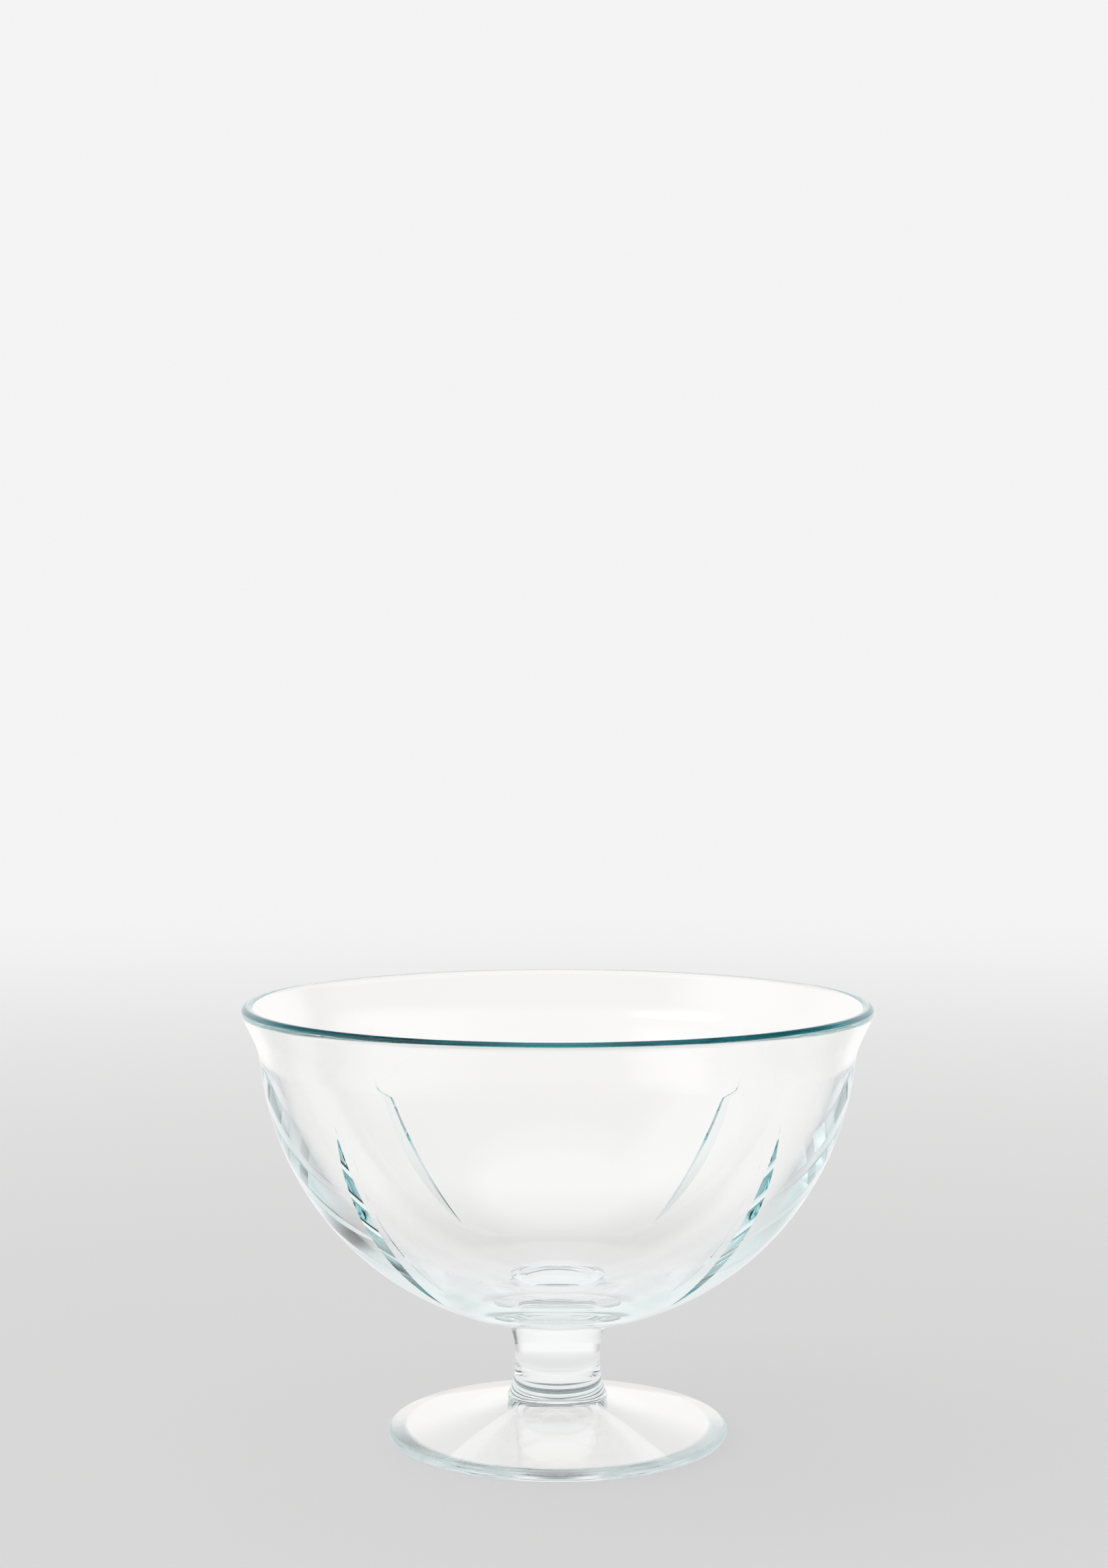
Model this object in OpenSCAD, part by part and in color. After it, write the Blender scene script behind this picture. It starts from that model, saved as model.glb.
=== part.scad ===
// Footed glass trifle bowl: a round, thick-walled bowl with a flared lip and four leaf-shaped mitre cuts,
// fused to a short solid stem and a low disc foot.

/* [Bowl] */
// Outside radius of the round bowl
bowl_r = 104; // [90:0.5:125]
// Thickness of the wall's glass, taken where its inner round would reach the bottom
wall_t = 9.5; // [7.5:0.1:11]
// Thickness of the glass in the middle of the bowl's floor
floor_t = 13.3; // [12.5:0.1:16]
// Radius of the floor's shallow dish
floor_r = 400; // [250:5:600]
// Radius of the bend between the floor and the wall
floor_bend_r = 40; // [25:1:50]
// Angle below the bowl's centre at which the wall turns outwards
bend_start = 6; // [3:0.5:9]

/* [Lip] */
// Outside radius of the bend between the wall and the lip
bend_r = 26; // [18:0.5:36]
// Lean of the lip from upright
lip_lean = 25.8; // [18:0.1:35]
// Length of the lip's straight stretch
lip_l = 9.1; // [5:0.1:14]
// Thickness of the lip, whose edge is a half round
lip_t = 4.4; // [3:0.1:5]

/* [Cuts] */
// Number of mitre cuts around the bowl
cut_count = 4; // [3:1:8]
// Depth of a cut at its middle
cut_depth = 3.7; // [1.5:0.1:4.2]
// Angle between the two faces of a cut
cut_angle = 80; // [65:1:120]
// Angle below the bowl's centre of a cut's upper point
cut_top = 11; // [8:0.5:16]
// Angle below the bowl's centre of a cut's lower point
cut_bottom = 59; // [52:0.5:66]

/* [Stem] */
// Height of the stem between its two seats
stem_h = 25.6; // [20:0.1:36]
// Diameter of the stem at its waist
waist_d = 29.7; // [24:0.1:36]
// Height of the waist above the stem's lower end
waist_h = 11.5; // [8:0.1:14]
// Radius of the flare from the waist up to the bowl
top_flare_r = 38; // [30:0.5:60]
// Radius of the flare from the waist down to the foot
base_flare_r = 32; // [24:0.5:48]

/* [Foot] */
// Diameter of the foot
foot_d = 118.6; // [100:0.2:140]
// Height of the foot with its collar
foot_h = 14.5; // [13:0.1:17]
// Thickness of the foot's rounded edge
edge_t = 3.4; // [2.6:0.1:4.5]
// Radius of the hollow round between the collar and the top of the foot
collar_r = 2; // [1.5:0.1:4]
// Width of the flat ring that the foot stands on
ring_w = 5; // [3:0.1:8]
// Slope of the hollow under the foot
hollow_lean = 11; // [8:0.5:12.5]
// Radius of the round that closes the hollow in the middle
hollow_round_r = 40; // [25:1:60]

/* [Hidden] */
$fn = 180;
glass = [0.84, 0.93, 0.93];

// Steps along the wide arcs, the blends and the half-round edges
wall_steps = 44;
blend_steps = 8;
edge_steps = 14;
// How far a cutting shape runs past the surface that it cuts
overrun = 2;

// Seats where the three pieces of glass are fused
foot_seat_z = foot_h;
bowl_seat_z = foot_h + stem_h;
waist_r = waist_d / 2;
waist_z = foot_seat_z + waist_h;
base_turn = asin((waist_z - foot_seat_z) / base_flare_r);
top_turn = asin((bowl_seat_z - waist_z) / top_flare_r);
base_flare_c = [waist_r + base_flare_r, waist_z];
top_flare_c = [waist_r + top_flare_r, waist_z];
foot_seat_r = base_flare_c[0] - base_flare_r * cos(base_turn);
bowl_seat_r = top_flare_c[0] - top_flare_r * cos(top_turn);

// The bowl's outside: a sphere that stands on its seat, a bend that leaves it without a corner, and the lip
bowl_c = [0, bowl_seat_z + sqrt(bowl_r ^ 2 - bowl_seat_r ^ 2)];
seat_turn = acos(bowl_seat_r / bowl_r);
bend_c = bowl_c + (bowl_r + bend_r) * heading(-bend_start);
edge_r = lip_t / 2;
rim_c = bend_c + (bend_r + edge_r) * heading(180 - lip_lean) + lip_l * heading(90 - lip_lean);

// The bowl's inside: a sphere that would leave wall_t at the bottom and runs smoothly into the lip's bend
inner_bend_r = bend_r + lip_t;
round_z = bowl_c[1] - bowl_r + wall_t;
below_round_z = round_z - inner_bend_r;
inner_c = [0, (bend_c * bend_c - below_round_z ^ 2) / (2 * (bend_c[1] - below_round_z))];
inner_r = inner_c[1] - round_z;
inner_turn = turn_of(bend_c - inner_c);

// The bowl's floor: a shallow dish above that sphere's lowest point, with a bend that touches both
floor_z = bowl_c[1] - bowl_r + floor_t;
floor_c = [0, floor_z + floor_r];
to_wall = inner_r - floor_bend_r;
to_floor = floor_r - floor_bend_r;
centres_gap = floor_c[1] - inner_c[1];
floor_bend_z = (inner_c[1] + floor_c[1] + (to_wall ^ 2 - to_floor ^ 2) / centres_gap) / 2;
floor_bend_c = [sqrt(to_wall ^ 2 - (floor_bend_z - inner_c[1]) ^ 2), floor_bend_z];
wall_end = turn_of(floor_bend_c - inner_c);
floor_end = turn_of(floor_bend_c - floor_c);

// The cuts: the crease of each follows an arc flatter than the bowl, so a cut is deepest at its middle
cut_mid = (cut_top + cut_bottom) / 2;
cut_half = (cut_bottom - cut_top) / 2;
half_chord = bowl_r * sin(cut_half);
crease_rise = bowl_r * (1 - cos(cut_half)) - cut_depth;
crease_r = (half_chord ^ 2 + crease_rise ^ 2) / (2 * crease_rise);
crease_c = bowl_c + (bowl_r - cut_depth - crease_r) * heading(-cut_mid);
cut_reach = cut_depth + overrun;
cut_half_w = cut_reach * tan(cut_angle / 2);
crease_half = asin((half_chord + overrun) / crease_r);

// The foot: a rounded edge, a cone that rises to the collar's hollow round, and a cone-shaped hollow below
foot_r = foot_d / 2;
foot_edge_r = edge_t / 2;
foot_edge_c = [foot_r - foot_edge_r, foot_edge_r];
collar_c = [foot_seat_r, foot_seat_z] + collar_r * heading(base_turn);
to_collar = collar_c - foot_edge_c;
cone_normal = turn_of(to_collar) - acos((foot_edge_r + collar_r) / norm(to_collar));
ring_r = foot_edge_c[0] - ring_w;
hollow_out = hollow_round_r * sin(hollow_lean);
hollow_up = (ring_r - hollow_out) * tan(hollow_lean);
hollow_c = [0, hollow_up - hollow_round_r * cos(hollow_lean)];

// Direction at an angle above the horizontal, in the plane of an outline
function heading(angle) = [cos(angle), sin(angle)];

// Angle of a direction above the horizontal
function turn_of(way) = atan2(way[1], way[0]);

// Points along an arc about a centre
function arc(centre, radius, from, to, steps) =
    [for (i = [0 : steps]) centre + radius * heading(from + (to - from) * i / steps)];

// Half outline of the bowl, from its seat round the rim to the middle of its floor
function bowl_outline() = concat(
    [[0, bowl_seat_z]],
    arc(bowl_c, bowl_r, -seat_turn, -bend_start, wall_steps),
    arc(bend_c, bend_r, 180 - bend_start, 180 - lip_lean, blend_steps),
    arc(rim_c, edge_r, -lip_lean, 180 - lip_lean, edge_steps),
    arc(bend_c, inner_bend_r, 180 - lip_lean, 180 + inner_turn, blend_steps),
    arc(inner_c, inner_r, inner_turn, wall_end, wall_steps),
    arc(floor_bend_c, floor_bend_r, wall_end, floor_end, blend_steps),
    arc(floor_c, floor_r, floor_end, -90, blend_steps)
);

// Half outline of the stem, drawn in at the waist
function stem_outline() = concat(
    [[0, foot_seat_z]],
    arc(base_flare_c, base_flare_r, 180 + base_turn, 180, blend_steps),
    arc(top_flare_c, top_flare_r, 180, 180 - top_turn, blend_steps),
    [[0, bowl_seat_z]]
);

// Half outline of the foot, from the hollow below round the edge to the collar
function foot_outline() = concat(
    arc(hollow_c, hollow_round_r, 90, 90 - hollow_lean, blend_steps),
    [[ring_r, 0]],
    arc(foot_edge_c, foot_edge_r, -90, cone_normal, edge_steps),
    arc(collar_c, collar_r, 180 + cone_normal, 180 + base_turn, blend_steps),
    [[0, foot_seat_z]]
);

// Solid that a half outline sweeps about the upright axis
module turned(outline) {
    rotate_extrude() polygon(outline);
}

// V-edged ring segment, upright in the plane of one cut, with its sharp edge along the cut's crease
module mitre_cutter() {
    translate([crease_c[0], 0, crease_c[1]])
        rotate([90, 0, 0])
            rotate([0, 0, -cut_mid - crease_half])
                rotate_extrude(angle = 2 * crease_half)
                    polygon([
                        [crease_r, 0],
                        [crease_r + cut_reach, cut_half_w],
                        [crease_r + cut_reach, -cut_half_w]
                    ]);
}

// Round bowl with its flared lip and the mitre cuts in its outside
module bowl() {
    color(glass) difference() {
        turned(bowl_outline());
        for (i = [0 : cut_count - 1])
            rotate([0, 0, 360 * (i + 1 / 2) / cut_count]) mitre_cutter();
    }
}

// Short solid stem between the foot and the bowl
module stem() {
    color(glass) turned(stem_outline());
}

// Disc foot with the collar that the stem stands on
module foot() {
    color(glass) turned(foot_outline());
}

bowl();
stem();
foot();
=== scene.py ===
# %% [markdown]
# # A footed glass trifle bowl
# The bowl is clear pressed glass: a deep round bowl with a flared lip, a short solid stem and a low disc
# foot. Four leaf-shaped mitre cuts, ground into the outside, are its only ornament. This lesson turns each
# piece on a lathe line, grinds the cuts, and then lights the glass so that its edges show their sea-green
# depth, with a painted teal shade helping at the lip and in the cuts.

# %% Load the imported model
import math
from collections import namedtuple

import bpy
import numpy as np
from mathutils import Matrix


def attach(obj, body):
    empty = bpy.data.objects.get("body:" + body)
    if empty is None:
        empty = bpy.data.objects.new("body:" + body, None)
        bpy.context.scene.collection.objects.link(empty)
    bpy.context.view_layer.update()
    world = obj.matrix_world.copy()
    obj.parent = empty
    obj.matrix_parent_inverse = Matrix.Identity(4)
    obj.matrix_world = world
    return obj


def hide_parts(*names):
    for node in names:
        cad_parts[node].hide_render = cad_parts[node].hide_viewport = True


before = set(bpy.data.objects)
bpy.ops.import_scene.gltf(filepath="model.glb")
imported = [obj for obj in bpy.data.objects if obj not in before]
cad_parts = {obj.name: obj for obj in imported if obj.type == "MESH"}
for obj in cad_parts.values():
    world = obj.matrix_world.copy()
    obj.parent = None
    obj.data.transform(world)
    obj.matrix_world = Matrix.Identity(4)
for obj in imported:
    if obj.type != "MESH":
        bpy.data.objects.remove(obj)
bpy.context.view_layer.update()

# %% [markdown]
# ## Sizes
# Lengths are in millimetres and angles in degrees until a mesh is made, and they have the values that the
# solid model uses, so each piece lands where its solid lies. The few centres that follow from them are
# worked out once, in the plane of the outline.

# %% Sizes of the bowl
MM = 0.001
BOWL_R = 104.0  # outside of the round bowl
WALL_T = 9.5  # wall, where its inner round would reach the bottom
FLOOR_T = 13.3  # glass in the middle of the floor
FLOOR_R = 400.0  # the floor's shallow dish
FLOOR_BEND_R = 40.0  # bend between the floor and the wall
BEND_START = 6.0  # angle below the bowl's centre at which the wall turns outwards
BEND_R = 26.0  # outside of the bend between the wall and the lip
LIP_LEAN = 25.8  # lean of the lip from upright
LIP_L = 9.1  # straight stretch of the lip
LIP_T = 4.4  # thickness of the lip, whose edge is a half round

# %% Sizes of the stem and the foot
STEM_H = 25.6  # between the two seats
WAIST_D = 29.7
WAIST_H = 11.5  # waist above the stem's lower end
TOP_FLARE_R = 38.0
BASE_FLARE_R = 32.0
FOOT_D = 118.6
FOOT_H = 14.5  # with the collar
EDGE_T = 3.4  # thickness of the foot's rounded edge
COLLAR_R = 2.0  # hollow round between the collar and the top of the foot
RING_W = 5.0  # flat ring that the foot stands on
HOLLOW_LEAN = 11.0  # slope of the hollow under the foot
HOLLOW_ROUND_R = 40.0  # round that closes the hollow in the middle


# %% Seats and centres
def heading(angle):
    """Direction at an angle above the horizontal."""
    return np.array((math.cos(math.radians(angle)), math.sin(math.radians(angle))))


def turn_of(way):
    """Angle of a direction above the horizontal."""
    return math.degrees(math.atan2(way[1], way[0]))


bowl_seat_z = FOOT_H + STEM_H
waist_z = FOOT_H + WAIST_H
base_turn = math.degrees(math.asin(WAIST_H / BASE_FLARE_R))
top_turn = math.degrees(math.asin((STEM_H - WAIST_H) / TOP_FLARE_R))
base_flare_c = np.array((WAIST_D / 2 + BASE_FLARE_R, waist_z))
top_flare_c = np.array((WAIST_D / 2 + TOP_FLARE_R, waist_z))
foot_seat_r = base_flare_c[0] - BASE_FLARE_R * math.cos(math.radians(base_turn))
bowl_seat_r = top_flare_c[0] - TOP_FLARE_R * math.cos(math.radians(top_turn))
bowl_c = np.array((0.0, bowl_seat_z + math.sqrt(BOWL_R**2 - bowl_seat_r**2)))
print("bowl's centre %.2f mm up, seats %.2f and %.2f mm in radius" % (bowl_c[1], foot_seat_r, bowl_seat_r))

# %% [markdown]
# ## A lathe line
# Turned glass is the same all round, so one half outline is enough. It could be a curve with a Screw
# modifier, but a traced edge chain keeps every point exactly on its arc: one vertex is extruded from point
# to point and the chain is then spun about the upright axis. Short steps matter, because glass bends light
# by the slope of each facet.

# %% Outline helpers
SAME_POINT = 0.001  # points of an outline that lie closer than this are one


def arc(centre, radius, start, end, steps):
    """Points along an arc about a centre."""
    return [np.asarray(centre) + radius * heading(a) for a in np.linspace(start, end, steps + 1)]


def stretch(a, b, steps):
    """Points along a straight stretch."""
    return [np.asarray(a) + (np.asarray(b) - np.asarray(a)) * t for t in np.linspace(0, 1, steps + 1)]


def join_runs(*runs):
    """One outline from several runs, with the points that they share kept once."""
    line = []
    for point in (p for run in runs for p in run):
        if not line or np.linalg.norm(point - line[-1]) > SAME_POINT:
            line.append(point)
    return line


# %% Trace and spin helpers
COLUMNS = 240  # round the upright axis
SPIN_MERGE = 2e-6  # metres


def trace(name, points):
    """Extrudes a single vertex from point to point (x, y, z) and stays in edit mode."""
    points = np.asarray(points) * MM
    bpy.ops.object.select_all(action="DESELECT")
    bpy.ops.mesh.primitive_plane_add(size=MM)
    bpy.context.object.name = bpy.context.object.data.name = name
    bpy.ops.object.mode_set(mode="EDIT")
    bpy.ops.mesh.merge(type="CENTER")
    bpy.ops.transform.translate(value=tuple(points[0]))
    for a, b in zip(points, points[1:]):
        bpy.ops.mesh.extrude_region_move(TRANSFORM_OT_translate={"value": tuple(b - a)})
    bpy.ops.mesh.select_all(action="SELECT")
    return bpy.context.object


def turned(name, outline):
    """Spins a half outline (radius, height) about the upright axis into one closed skin."""
    piece = trace(name, [(r, 0.0, z) for r, z in outline])
    bpy.ops.mesh.spin(steps=COLUMNS, angle=2 * math.pi, center=(0, 0, 0), axis=(0, 0, 1))
    bpy.ops.mesh.select_all(action="SELECT")
    bpy.ops.mesh.remove_doubles(threshold=SPIN_MERGE)
    bpy.ops.mesh.normals_make_consistent(inside=False)
    bpy.ops.object.mode_set(mode="OBJECT")
    print(name, len(piece.data.polygons), "faces")
    return piece


# %% [markdown]
# ## The bowl's body
# A plunger presses the inside and a mould the outside, so the wall is thin at the lip and thick at the
# floor. The outside is one sphere; the lip leaves it through a bend that has no corner and ends in a
# fire-polished half round. The inside is a second, slightly higher sphere that runs into a nearly flat
# floor. Both could be sculpted from a primitive sphere, but arcs that touch keep the wall free of dents.

# %% Centres of the bowl's arcs
bend_c = bowl_c + (BOWL_R + BEND_R) * heading(-BEND_START)
rim_c = bend_c + (BEND_R + LIP_T / 2) * heading(180 - LIP_LEAN) + LIP_L * heading(90 - LIP_LEAN)
inner_bend_r = BEND_R + LIP_T
round_z = bowl_c[1] - BOWL_R + WALL_T
below_z = round_z - inner_bend_r
inner_c = np.array((0.0, (bend_c @ bend_c - below_z**2) / (2 * (bend_c[1] - below_z))))
inner_r = inner_c[1] - round_z
floor_c = np.array((0.0, bowl_c[1] - BOWL_R + FLOOR_T + FLOOR_R))
to_wall = inner_r - FLOOR_BEND_R
to_floor = FLOOR_R - FLOOR_BEND_R
floor_bend_z = (inner_c[1] + floor_c[1] + (to_wall**2 - to_floor**2) / (floor_c[1] - inner_c[1])) / 2
floor_bend_c = np.array((math.sqrt(to_wall**2 - (floor_bend_z - inner_c[1]) ** 2), floor_bend_z))
inner_turn = turn_of(bend_c - inner_c)
wall_end = turn_of(floor_bend_c - inner_c)
floor_end = turn_of(floor_bend_c - floor_c)
print("inner round %.2f mm in radius, rim's half round at %.2f, %.2f mm" % (inner_r, *rim_c))

# %% Bowl outline
WALL_STEPS = 92
INNER_WALL_STEPS = 84
BEND_STEPS = 14
INNER_BEND_STEPS = 18
RIM_STEPS = 40
FLOOR_BEND_STEPS = 16
DISH_STEPS = 12
FLAT_STEPS = 8
SEAT_STEPS = 2

outside = arc(bowl_c, BOWL_R, -math.degrees(math.acos(bowl_seat_r / BOWL_R)), -BEND_START, WALL_STEPS)
bend_out = arc(bend_c, BEND_R, 180 - BEND_START, 180 - LIP_LEAN, BEND_STEPS)
rim = arc(rim_c, LIP_T / 2, -LIP_LEAN, 180 - LIP_LEAN, RIM_STEPS)
bend_in = arc(bend_c, inner_bend_r, 180 - LIP_LEAN, 180 + inner_turn, INNER_BEND_STEPS)
inside = arc(inner_c, inner_r, inner_turn, wall_end, INNER_WALL_STEPS)
floor_bend = arc(floor_bend_c, FLOOR_BEND_R, wall_end, floor_end, FLOOR_BEND_STEPS)
dish = arc(floor_c, FLOOR_R, floor_end, -90, DISH_STEPS)
bowl_line = join_runs(
    stretch((0, bowl_seat_z), (bowl_seat_r, bowl_seat_z), SEAT_STEPS),
    outside,
    bend_out,
    stretch(bend_out[-1], rim[0], FLAT_STEPS),
    rim,
    stretch(rim[-1], bend_in[0], FLAT_STEPS),
    bend_in,
    inside,
    floor_bend,
    dish,
)
bowl = turned("bowl_glass", bowl_line)

# %% [markdown]
# ## The mitre cuts
# A cutter holds the bowl to a V-edged wheel: the crease follows the wheel's rim, so the cut is deepest in
# its middle and runs out to a point at both ends, like a leaf. Here the wheel's edge is a small triangle
# spun through part of a turn, four copies of it are taken round the bowl, and a Boolean grinds them away.
# The leaf could also be pushed into the mesh by hand, but a ground V has two true faces. A second, lighter
# touch of the same wheel draws each upper point out to a hair line.

# %% Wheel-edge helpers
CUT_ANGLE = 80.0  # between the two faces of a cut
OVERRUN = 2.0  # how far the wheel's edge runs past the surface that it cuts
WHEEL_STEPS = 56
WHEEL_MERGE = 1e-7  # metres
END_SIDES = 4  # an open end of up to so many sides is closed


def wheel(top, bottom, depth):
    """Centre, radius and half chord of the crease's arc between two angles below the bowl's centre."""
    middle = (top + bottom) / 2
    half = math.radians((bottom - top) / 2)
    half_chord = BOWL_R * math.sin(half)
    rise = BOWL_R * (1 - math.cos(half)) - depth
    wheel_r = (half_chord**2 + rise**2) / (2 * rise)
    return bowl_c + (BOWL_R - depth - wheel_r) * heading(-middle), wheel_r, half_chord


def wheel_edge(name, top, bottom, depth):
    """The V edge of a wheel along one cut."""
    centre, wheel_r, half_chord = wheel(top, bottom, depth)
    middle = (top + bottom) / 2
    reach = depth + OVERRUN
    mouth = reach * math.tan(math.radians(CUT_ANGLE / 2))
    sweep = 2 * math.degrees(math.asin((half_chord + OVERRUN) / wheel_r))
    tip, back = (centre + r * heading(-middle - sweep / 2) for r in (wheel_r, wheel_r + reach))
    tool = trace(name, [(tip[0], 0, tip[1]), (back[0], mouth, back[1]), (back[0], -mouth, back[1])])
    hub = (centre[0] * MM, 0, centre[1] * MM)
    bpy.ops.mesh.edge_face_add()
    bpy.ops.mesh.spin(steps=WHEEL_STEPS, angle=math.radians(sweep), center=hub, axis=(0, 1, 0))
    bpy.ops.mesh.select_all(action="SELECT")
    bpy.ops.mesh.remove_doubles(threshold=WHEEL_MERGE)
    bpy.ops.mesh.fill_holes(sides=END_SIDES)
    bpy.ops.mesh.normals_make_consistent(inside=False)
    bpy.ops.object.mode_set(mode="OBJECT")
    return tool


# %% Copy and grind helpers
def all_round(tool, count):
    """Copies a tool round the upright axis, half a step off the X axis, and joins the copies."""
    bpy.ops.object.select_all(action="DESELECT")
    tool.select_set(True)
    bpy.context.view_layer.objects.active = tool
    tool.rotation_euler.z = math.pi / count
    copies = [tool]
    for i in range(1, count):
        bpy.ops.object.duplicate(linked=False)
        bpy.context.object.rotation_euler.z = math.pi / count + 2 * math.pi * i / count
        copies.append(bpy.context.object)
    for copy in copies:
        copy.select_set(True)
    bpy.ops.object.transform_apply(location=False, rotation=True, scale=False)
    bpy.context.view_layer.objects.active = tool
    bpy.ops.object.join()
    return tool


def grind(piece, tool):
    """Takes the tool's shape out of a piece and deletes the tool."""
    bpy.ops.object.select_all(action="DESELECT")
    bpy.context.view_layer.objects.active = piece
    piece.select_set(True)
    bpy.ops.object.modifier_add(type="BOOLEAN")
    step = piece.modifiers[-1]
    step.operation, step.solver, step.object = "DIFFERENCE", "EXACT", tool
    bpy.ops.object.modifier_apply(modifier=step.name)
    bpy.data.objects.remove(tool)
    print(piece.name, len(piece.data.polygons), "faces after grinding")


# %% Grind the four cuts
Cut = namedtuple("Cut", "top bottom depth")
CUTS = 4
LEAF = Cut(top=14.0, bottom=59.0, depth=3.82)
HAIR_TIP = Cut(top=11.8, bottom=18.4, depth=0.09)

grind(bowl, all_round(wheel_edge("leaf_cut", *LEAF), CUTS))
grind(bowl, all_round(wheel_edge("hair_tip", *HAIR_TIP), CUTS))

# %% [markdown]
# ## The stem
# A short solid post, drawn in at its waist while the glass was soft. Its two ends are fused to the bowl and
# the foot, so nothing shows there on the real bowl. A single skin would do that as well, but the three
# pieces stay separate. Each end has a face of its own, a hair's breadth from its neighbour, and the glass
# material lets light go straight through these fused faces.

# %% Stem outline
FUSED_GAP = 0.03
BASE_FLARE_STEPS = 16
TOP_FLARE_STEPS = 20
stem_base_z = FOOT_H + FUSED_GAP
stem_top_z = bowl_seat_z - FUSED_GAP

stem_line = join_runs(
    stretch((0, stem_base_z), (foot_seat_r, stem_base_z), SEAT_STEPS),
    arc(base_flare_c, BASE_FLARE_R, 180 + base_turn, 180, BASE_FLARE_STEPS)[1:],
    arc(top_flare_c, TOP_FLARE_R, 180, 180 - top_turn, TOP_FLARE_STEPS)[:-1],
    stretch((bowl_seat_r, stem_top_z), (0, stem_top_z), SEAT_STEPS),
)
stem = turned("stem_glass", stem_line)

# %% [markdown]
# ## The foot
# A disc with a rounded edge and a cone that climbs to a collar. The cone-shaped hollow below leaves the
# bowl standing on a narrow flat ring, and is steep enough for the white table to show through the foot. It
# could be a bevelled cylinder, but the lathe line gives its true rounds. Straight runs get short steps too:
# where a long facet meets a curve, its shading would otherwise bulge.

# %% Foot outline
FOOT_EDGE_STEPS = 36
COLLAR_STEPS = 30
CONE_STEPS = 30
HOLLOW_STEPS = 16

edge_r = EDGE_T / 2
edge_c = np.array((FOOT_D / 2 - edge_r, edge_r))
collar_c = np.array((foot_seat_r, FOOT_H)) + COLLAR_R * heading(base_turn)
to_collar = collar_c - edge_c
collar_lean = math.degrees(math.acos((edge_r + COLLAR_R) / np.linalg.norm(to_collar)))
cone_normal = turn_of(to_collar) - collar_lean
ring_r = edge_c[0] - RING_W
hollow_out = HOLLOW_ROUND_R * math.sin(math.radians(HOLLOW_LEAN))
hollow_up = (ring_r - hollow_out) * math.tan(math.radians(HOLLOW_LEAN))
hollow_c = np.array((0.0, hollow_up - HOLLOW_ROUND_R * math.cos(math.radians(HOLLOW_LEAN))))

hollow = arc(hollow_c, HOLLOW_ROUND_R, 90, 90 - HOLLOW_LEAN, HOLLOW_STEPS)
edge = arc(edge_c, edge_r, -90, cone_normal, FOOT_EDGE_STEPS)
collar = arc(collar_c, COLLAR_R, 180 + cone_normal, 180 + base_turn, COLLAR_STEPS)
foot_line = join_runs(
    hollow,
    stretch(hollow[-1], (ring_r, 0), CONE_STEPS),
    stretch((ring_r, 0), edge[0], FLAT_STEPS),
    edge,
    stretch(edge[-1], collar[0], CONE_STEPS),
    collar,
    stretch((foot_seat_r, FOOT_H), (0, FOOT_H), SEAT_STEPS),
)
foot = turned("foot_glass", foot_line)

# %% [markdown]
# ## Smooth glass, sharp edges
# Moulded glass is smooth and ground edges are crisp, so shading is smooth only across small angles. What
# follows works on all the corners of a mesh at once, as arrays, because a loop in Python would be slow.

# %% Smooth shading
SMOOTH_UP_TO = 12.0

for piece in (bowl, stem, foot):
    bpy.ops.object.select_all(action="DESELECT")
    piece.select_set(True)
    bpy.context.view_layer.objects.active = piece
    bpy.ops.object.shade_smooth_by_angle(angle=math.radians(SMOOTH_UP_TO))
print("smooth up to", SMOOTH_UP_TO, "degrees")


# %% Corner and face helpers
def corner_points(mesh):
    """The place of every face corner, in metres."""
    places = np.empty(len(mesh.vertices) * 3, np.float32)
    mesh.vertices.foreach_get("co", places)
    loops = np.empty(len(mesh.loops), np.int32)
    mesh.loops.foreach_get("vertex_index", loops)
    return places.reshape(-1, 3)[loops]


def face_numbers(mesh, name):
    """A whole number that every face has, such as how many corners."""
    numbers = np.empty(len(mesh.polygons), np.int32)
    mesh.polygons.foreach_get(name, numbers)
    return numbers


def face_reduce(mesh, values, how):
    """One number for each face from its corners."""
    return how.reduceat(values, face_numbers(mesh, "loop_start"))


def mark(mesh, name, values):
    """Stores one number on each face."""
    layer = mesh.attributes.new(name, "FLOAT", "FACE")
    layer.data.foreach_set("value", values.astype(np.float32))
    print(mesh.name, name, int((values > 0.5).sum()), "faces")


# %% [markdown]
# ## True shading on the round and in the cuts
# The Boolean leaves slivers along each cut, and their slopes would ripple the light. So each corner on the
# outer sphere gets the sphere's own direction, and each corner in a leaf that of the wheel's V edge. Both
# are exact. The faces of the cuts are also marked for the material.

# %% Find the round and the cuts
ON_ROUND = 0.02  # deepest that a corner of the round lies below the sphere
AT_ROUND = 0.05  # a ground face has a corner this close to the sphere
FAR_OFF = 1.0  # stands in for the depth of corners above the round, in metres
BEND_SLACK = 0.01  # keeps the top row of the round's corners in

bend_z = bowl_c[1] - BOWL_R * math.sin(math.radians(BEND_START))
corners = corner_points(bowl.data)
counts = face_numbers(bowl.data, "loop_total")
from_centre = corners - np.array((0, 0, bowl_c[1] * MM))
depth = BOWL_R * MM - np.linalg.norm(from_centre, axis=1)
depth = np.where(corners[:, 2] < (bend_z + BEND_SLACK) * MM, depth, FAR_OFF)
deepest = face_reduce(bowl.data, depth, np.maximum)
nearest = face_reduce(bowl.data, depth, np.minimum)
round_faces = deepest < ON_ROUND * MM
ground = (nearest < AT_ROUND * MM) & ~round_faces & (deepest < (LEAF.depth + AT_ROUND) * MM)
mark(bowl.data, "ground", ground)

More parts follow.
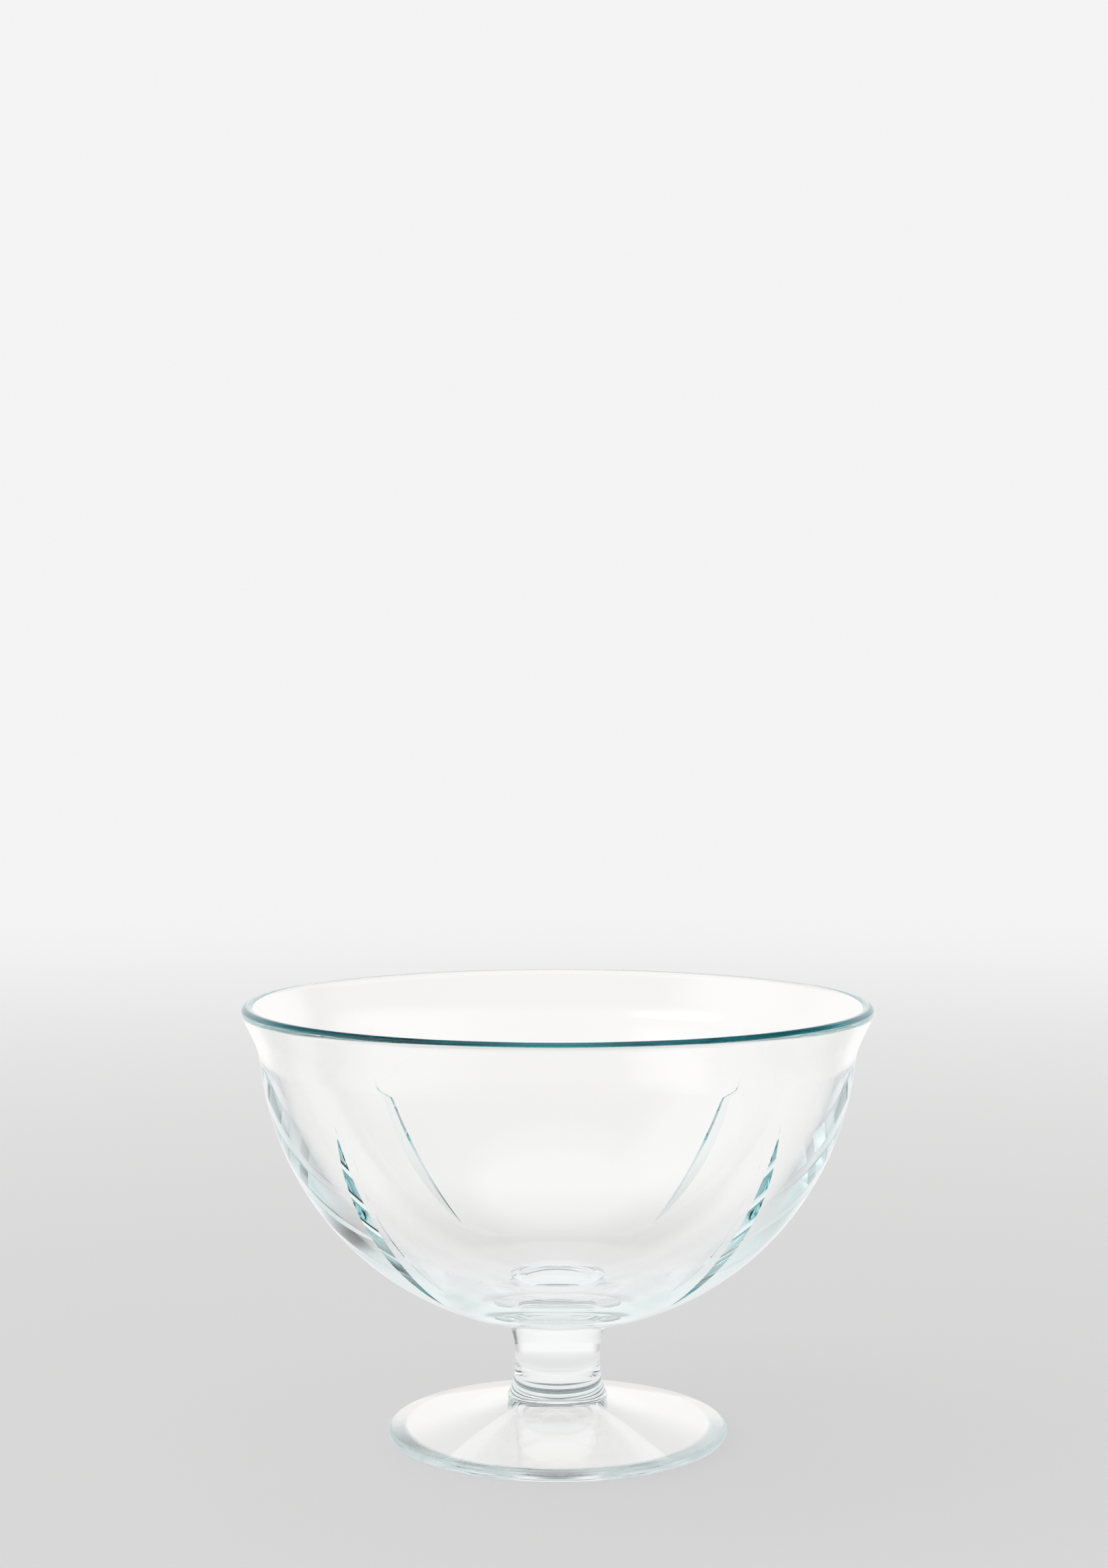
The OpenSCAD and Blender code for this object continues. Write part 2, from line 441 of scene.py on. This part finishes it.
# %% Directions of the cuts' faces
step = 2 * math.pi / CUTS
cut_turn = np.floor(np.arctan2(corners[:, 1], corners[:, 0]) / step) * step + step / 2
outwards = np.stack((np.cos(cut_turn), np.sin(cut_turn), 0 * cut_turn), axis=1)
sideways = np.stack((-np.sin(cut_turn), np.cos(cut_turn), 0 * cut_turn), axis=1)
from_wheel = np.stack(((corners * outwards).sum(axis=1), corners[:, 2]), axis=1) - wheel(*LEAF)[0] * MM
from_wheel /= np.linalg.norm(from_wheel, axis=1)[:, None]
side = np.sign(face_reduce(bowl.data, (corners * sideways).sum(axis=1), np.add))
lean = math.radians(CUT_ANGLE / 2)
v_face = math.sin(lean) * (from_wheel[:, :1] * outwards + from_wheel[:, 1:] * np.array((0, 0, 1)))
v_face -= math.cos(lean) * np.repeat(side, counts)[:, None] * sideways
print(CUTS, "cuts, their faces lean by", CUT_ANGLE / 2, "degrees")

# %% Set the bowl's shading
on_round = np.repeat(round_faces, counts)
leaf_top_z = bowl_c[1] - BOWL_R * math.sin(math.radians(LEAF.top))
lowest = face_reduce(bowl.data, corners[:, 2], np.minimum)
in_leaf = np.repeat(ground & (lowest < leaf_top_z * MM), counts)

normals = np.empty(len(bowl.data.loops) * 3, np.float32)
bowl.data.corner_normals.foreach_get("vector", normals)
normals = normals.reshape(-1, 3)
off = np.degrees(np.arccos(np.clip((v_face[in_leaf] * normals[in_leaf]).sum(axis=1), -1, 1)))
print("cut faces: shading turned by %.2f degrees at most, %.2f on average" % (off.max(), off.mean()))
normals[on_round] = from_centre[on_round] / np.linalg.norm(from_centre[on_round], axis=1)[:, None]
normals[in_leaf] = v_face[in_leaf]
bowl.data.normals_split_custom_set(normals)

# %% Mark the fused faces
for piece, levels in ((bowl, [bowl_seat_z]), (stem, [FOOT_H, bowl_seat_z]), (foot, [FOOT_H])):
    heights = corner_points(piece.data)[:, 2] / MM
    near = np.min([np.abs(heights - level) for level in levels], axis=0)
    mark(piece.data, "fused", face_reduce(piece.data, near, np.maximum) < 2 * FUSED_GAP)

# %% [markdown]
# ## Node maths
# Materials read best as sums. A small class wraps a socket: arithmetic on it adds Math nodes, and one
# method adds any other node with its settings first and then its inputs.


# %% A socket that can be calculated with
class Tone:
    """A value in a node tree."""

    def __init__(self, tree, socket=None):
        self.tree = tree
        self.socket = socket

    def node(self, kind, settings=None, inputs=None, output=0):
        """Adds a node, sets it up, and gives its sockets values or links."""
        new = self.tree.nodes.new(kind)
        for key, value in (settings or {}).items():
            if key == "stops":
                ramp = new.color_ramp
                while len(ramp.elements) < len(value):
                    ramp.elements.new(1.0)
                for element, (place, colour) in zip(ramp.elements, value):
                    element.position, element.color = place, colour
            else:
                setattr(new, key, value)
        for key, value in (inputs or {}).items():
            if isinstance(value, Tone):
                self.tree.links.new(value.socket, new.inputs[key])
            else:
                new.inputs[key].default_value = value
        return Tone(self.tree, new.outputs[output])

    def maths(self, operation, a, b):
        return self.node("ShaderNodeMath", {"operation": operation}, {0: a, 1: b})

    def __add__(self, other):
        return self.maths("ADD", self, other)

    def __sub__(self, other):
        return self.maths("SUBTRACT", self, other)

    def __rsub__(self, other):
        return self.maths("SUBTRACT", other, self)

    def __mul__(self, other):
        return self.maths("MULTIPLY", self, other)

    __radd__ = __add__
    __rmul__ = __mul__

    def most(self, other):
        return self.maths("MAXIMUM", self, other)

    def between(self, low, high):
        """0 below low, 1 above high, and a soft step in between."""
        settings = {"interpolation_type": "SMOOTHSTEP"}
        return self.node("ShaderNodeMapRange", settings, {0: self, 1: low, 2: high})


# %% Node-tree helpers
def grey(value):
    return (value, value, value, 1.0)


def blank(owner):
    """Empties an owner's node tree and returns a start in it."""
    owner.use_nodes = True
    owner.node_tree.nodes.clear()
    return Tone(owner.node_tree)


def close(owner, kind, **ends):
    """Adds the output node and links what reaches it."""
    output = owner.node_tree.nodes.new(kind)
    for name, end in ends.items():
        owner.node_tree.links.new(end.socket, output.inputs[name])


# %% [markdown]
# ## The glass
# Soda glass looks clear face on and sea green where light has run a long way inside it, as at the lip and in
# the cuts. A weak absorption in the body gives that by itself. Enough of it for the lip's deep teal would
# colour the whole bowl, so the outer upper edge of the lip, where the trapped light goes in, has a painted
# teal shade of its own in the base colour, and the ground faces a trace of painted shade. The moulded skin
# has a slow ripple and the resting ring some wear.

# %% Glass values
# painted teal shade on the lip's outer upper edge, standing in for light that has run a long way inside the
# glass
LIP_PAINTED_SHADE = (0.006, 0.15, 0.19, 1.0)
LIP_RISE = (0.616, 1.016)  # where the painted lip shade sets in, above the centre of the rim's half round
LIP_OUT = (0.2405, 0.6405)  # and outwards of it
# painted trace of shade on the ground faces, for light trapped in the cuts
CUT_PAINTED_SHADE = (0.95, 0.985, 0.99, 1.0)
DEPTH_COLOUR = (0.13, 0.848, 0.878, 1.0)
DEPTH_DENSITY = 1.1  # for each metre
GLASS_IOR = 1.5
RIPPLE = {"Scale": 26.0, "Detail": 1.0}
WAVES = {"Scale": 110.0, "Detail": 2.0}
WAVES_RISE = (-0.984, 0.516)  # where the lip's finer waves set in, as for the painted lip shade
WAVES_SHARE = 0.3
SKIN = {"Strength": 0.5, "Distance": 0.00002}
SCUFFS = {"Scale": 900.0, "Detail": 3.0}
SCUFFS_END = (0.02, 0.2)  # height at which the wear of the ring ends
SCUFFS_SHARE = 0.3


# %% Glass material
def from_rim(limits, axis):
    """Limits from the centre of the rim's half round, as places in metres."""
    return [(rim_c[axis] + limit) * MM for limit in limits]


def painted_glass_shade(start, height, radius):
    """Clear, with painted shade: a trace on the ground faces and a teal shade at the lip."""
    ground = start.node("ShaderNodeAttribute", {"attribute_name": "ground"}, output="Fac")
    # where the lip's painted teal shade goes
    lip_painted_shade = height.between(*from_rim(LIP_RISE, 1)) * radius.between(*from_rim(LIP_OUT, 0))
    painted_colour = grey(1.0)
    # paints the shade of the cuts and of the lip over clear white
    for factor, colour in ((ground, CUT_PAINTED_SHADE), (lip_painted_shade, LIP_PAINTED_SHADE)):
        sockets = {"Factor": factor, "A": painted_colour, "B": colour}
        painted_colour = start.node("ShaderNodeMix", {"data_type": "RGBA"}, sockets, output="Result")
    return painted_colour


def glass_skin(start, place, height):
    """A slow ripple all over, with finer waves on the lip."""
    ripple = start.node("ShaderNodeTexNoise", {}, {"Vector": place, **RIPPLE})
    waves = start.node("ShaderNodeTexNoise", {}, {"Vector": place, **WAVES})
    relief = ripple + waves * height.between(*from_rim(WAVES_RISE, 1)) * WAVES_SHARE
    return start.node("ShaderNodeBump", {}, {"Height": relief, **SKIN}, output="Normal")


def glass_material():
    glass = bpy.data.materials.new("clear_glass")
    start = blank(glass)
    place = start.node("ShaderNodeTexCoord", output="Object")
    height = start.node("ShaderNodeSeparateXYZ", inputs={0: place}, output="Z")
    across = start.node("ShaderNodeVectorMath", {"operation": "MULTIPLY"}, {0: place, 1: (1.0, 1.0, 0.0)})
    radius = start.node("ShaderNodeVectorMath", {"operation": "LENGTH"}, {0: across}, output="Value")
    on_ring = 1.0 - height.between(*(limit * MM for limit in SCUFFS_END))
    scuffs = start.node("ShaderNodeTexNoise", {}, {"Vector": place, **SCUFFS})
    body = start.node("ShaderNodeBsdfPrincipled", {}, {
        "Base Color": painted_glass_shade(start, height, radius),
        "Roughness": on_ring * scuffs * SCUFFS_SHARE,
        "IOR": GLASS_IOR,
        "Transmission Weight": 1.0,
        "Normal": glass_skin(start, place, height),
    })
    fused = start.node("ShaderNodeAttribute", {"attribute_name": "fused"}, output="Fac")
    straight = start.node("ShaderNodeBsdfTransparent")
    surface = start.node("ShaderNodeMixShader", {}, {0: fused, 1: body, 2: straight})
    depth = start.node("ShaderNodeVolumeAbsorption", {}, {"Color": DEPTH_COLOUR, "Density": DEPTH_DENSITY})
    close(glass, "ShaderNodeOutputMaterial", Surface=surface, Volume=depth)
    return glass


# %% Put the glass on
glass = glass_material()
for piece, node in ((bowl, "bowl"), (stem, "stem"), (foot, "foot")):
    piece.data.materials.clear()
    piece.data.materials.append(glass)
    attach(piece, "root")
    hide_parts(node)
print("glass on", bowl.name, stem.name, foot.name)

# %% [markdown]
# ## The table
# Glass shows what is around it. The eye sees a lit white table with the bowl's shadow, which fades into the
# backdrop. A ray that has been through glass, or off it, sees plain white instead, with light and shade
# painted
# on it: a little darker round the foot, as a painted shadow, brightest behind the bowl, and a painted grey
# to the sides and in front, which draws the bowl's edges. The lit table could serve for both, but the glass
# would then show the bowl's own shadow.

# %% Light and place helpers
BACKDROP = (0.9, 0.9, 0.9, 1.0)
STUDIO_WHITE = (1.0, 0.985, 0.98)


def white_at(level):
    """The studio's white at a level that changes from place to place."""
    return level.node("ShaderNodeVectorMath", {"operation": "SCALE"}, {0: STUDIO_WHITE, "Scale": level})


def along(way, axes):
    """The parts of a place or a direction along some of its axes."""
    return [way.node("ShaderNodeSeparateXYZ", inputs={0: way}, output=axis) for axis in axes]


def bearing_of(x, y):
    """Degrees to the right of the line from the camera through the bowl."""
    return x.maths("ARCTAN2", x, y) * (180 / math.pi)


# %% Table values
TABLE_SIZE = 12.0
TABLE_DROP = 0.0002  # keeps the table clear of the resting ring
TABLE_WHITE = 0.95
TABLE_ROUGHNESS = 0.7
FADE_END = 2.2  # distance at which the table is all backdrop
BACKDROP_SHARE = 0.58  # share of the backdrop in the table next to the bowl
UNDER_FOOT = 0.92  # level seen through the foot
ROUND_FOOT = (0.05, 0.09)  # distances from the middle, as in the other pairs without a note
# painted shadow round the foot, as seen through the glass
ROUND_FOOT_PAINTED_SHADOW = 0.12
FAR_TABLE = (0.1, 0.3)
FAR_TABLE_GAIN = 0.2
BESIDE_TURN = (36.0, 64.0)  # bearing, to either side, at which the table turns grey
BESIDE_AWAY = (0.12, 0.24)
# painted shade to either side, as seen in the glass
BESIDE_PAINTED_SHADE = 0.42


# %% Table
def table_material():
    table = bpy.data.materials.new("white_table")
    start = blank(table)
    place = start.node("ShaderNodeTexCoord", output="Object")
    away = start.node("ShaderNodeVectorMath", {"operation": "LENGTH"}, {0: place}, output="Value")
    bearing = bearing_of(*along(place, "XY"))
    beside = bearing.most(bearing * -1.0).between(*BESIDE_TURN) * away.between(*BESIDE_AWAY)
    # painted shadow round the foot, lighter further off, and painted shade to the sides
    level = UNDER_FOOT - away.between(*ROUND_FOOT) * ROUND_FOOT_PAINTED_SHADOW
    level = level + away.between(*FAR_TABLE) * FAR_TABLE_GAIN
    level = level * (1.0 - beside * BESIDE_PAINTED_SHADE)
    through = start.node("ShaderNodeEmission", {}, {"Color": white_at(level), "Strength": 1.0})

    matt = {"Base Color": grey(TABLE_WHITE), "Roughness": TABLE_ROUGHNESS}
    lit = start.node("ShaderNodeBsdfPrincipled", {}, matt)
    far = start.node("ShaderNodeEmission", {}, {"Color": BACKDROP, "Strength": 1.0})
    fade = away.between(0.0, FADE_END) * (1.0 - BACKDROP_SHARE) + BACKDROP_SHARE
    seen = start.node("ShaderNodeMixShader", {}, {0: fade, 1: lit, 2: far})

    refracted = start.node("ShaderNodeLightPath", output="Is Transmission Ray")
    mirrored = start.node("ShaderNodeLightPath", output="Is Glossy Ray")
    surface = start.node("ShaderNodeMixShader", {}, {0: refracted.most(mirrored), 1: seen, 2: through})
    close(table, "ShaderNodeOutputMaterial", Surface=surface)
    return table


bpy.ops.object.select_all(action="DESELECT")
bpy.ops.mesh.primitive_plane_add(size=TABLE_SIZE, location=(0, 0, -TABLE_DROP))
floor = bpy.context.object
floor.name = "floor"
floor.data.materials.append(table_material())
print("table", TABLE_SIZE, "m wide")

# %% [markdown]
# ## The studio
# Lamps would show as hard spots in polished glass, so the light comes from the world alone. Low down it is a
# white sweep behind and to the sides and grey behind the camera, with one dark upright flag on the right for
# a dark line in the glass. Higher up it is dark but for a wide panel on the left, so that the glass has
# something dark to mirror. A small soft box to the left of the camera is there for a highlight, and a light
# overhead for the table. The eye sees a plain backdrop.

# %% Studio values
LOW_SKY = (
    (-180, 0.38), (-152, 0.48), (-124, 0.85), (-92, 0.85), (-74, 0.75), (-55, 0.85), (-35, 0.95),
    (0, 1.0), (35, 0.95), (50, 0.8), (59, 0.14), (67, 0.1), (78, 0.5), (92, 0.85), (124, 0.85),
    (152, 0.45), (180, 0.38),
)
HIGH_SKY = (
    (-180, 0.03), (-130, 0.05), (-108, 0.8), (-68, 0.9), (-50, 0.12), (-20, 0.05),
    (0, 0.15), (20, 0.05), (60, 0.03), (120, 0.03), (180, 0.03),
)
HIGH_FROM = (0.28, 0.58)  # upward part of the direction, 1 at the zenith
OVERHEAD_FROM = (0.84, 0.93)
OVERHEAD = 0.65
BOX_LEFT = (-154.0, -138.0)
BOX_RIGHT = (-118.0, -102.0)
BOX_BOTTOM = (0.16, 0.26)
BOX_TOP = (0.3, 0.44)
BOX = 1.1


# %% Studio
def by_bearing(bearing, sky):
    """Brightness of a sky that is given as pairs of bearing and level."""
    stops = [((turn + 180) / 360, grey(value)) for turn, value in sky]
    return bearing.node("ShaderNodeValToRGB", {"stops": stops}, {0: bearing * (1 / 360) + 0.5})


def light_studio():
    world = bpy.data.worlds.new("studio")
    bpy.context.scene.world = world
    start = blank(world)
    x, y, z = along(start.node("ShaderNodeTexCoord", output="Generated"), "XYZ")
    bearing = bearing_of(x, y)
    high = z.between(*HIGH_FROM)
    overhead = z.between(*OVERHEAD_FROM)
    box = bearing.between(*BOX_LEFT) * (1.0 - bearing.between(*BOX_RIGHT))
    box = box * z.between(*BOX_BOTTOM) * (1.0 - z.between(*BOX_TOP))
    level = by_bearing(bearing, LOW_SKY) * (1.0 - high)
    level = level + by_bearing(bearing, HIGH_SKY) * high * (1.0 - overhead)
    level = level + overhead * OVERHEAD + box * BOX
    around = start.node("ShaderNodeBackground", {}, {"Color": white_at(level), "Strength": 1.0})
    behind = start.node("ShaderNodeBackground", {}, {"Color": BACKDROP, "Strength": 1.0})
    eye = start.node("ShaderNodeLightPath", output="Is Camera Ray")
    surface = start.node("ShaderNodeMixShader", {}, {0: eye, 1: around, 2: behind})
    close(world, "ShaderNodeOutputWorld", Surface=surface)
    print("world", world.name, "with", len(world.node_tree.nodes), "nodes")


light_studio()

# %% [markdown]
# ## Camera and light paths
# The camera stands where the ellipses of the rim and the foot put it. Light is trapped in the glass and
# bounces many times before it leaves through a cut or the lip, so the path limits are raised.

# %% Camera
CAMERA_AT = (-0.00126, -0.8833, 0.2556)
CAMERA_DIP = 1.808  # degrees below level
FOCAL_PX = 3711.0
FRAME_PX = 2296.0
SENSOR = 36.0
LONGEST_PATH = 160

bpy.ops.object.camera_add(location=CAMERA_AT, rotation=(math.radians(90 - CAMERA_DIP), 0, 0))
camera = bpy.context.object
camera.data.sensor_width = SENSOR
camera.data.lens = FOCAL_PX / FRAME_PX * SENSOR
scene = bpy.context.scene
scene.camera = camera
scene.view_settings.view_transform = "Standard"
scene.cycles.max_bounces = LONGEST_PATH
scene.cycles.transmission_bounces = LONGEST_PATH
scene.cycles.glossy_bounces = LONGEST_PATH
scene.cycles.transparent_max_bounces = LONGEST_PATH
print("lens %.2f mm" % camera.data.lens)
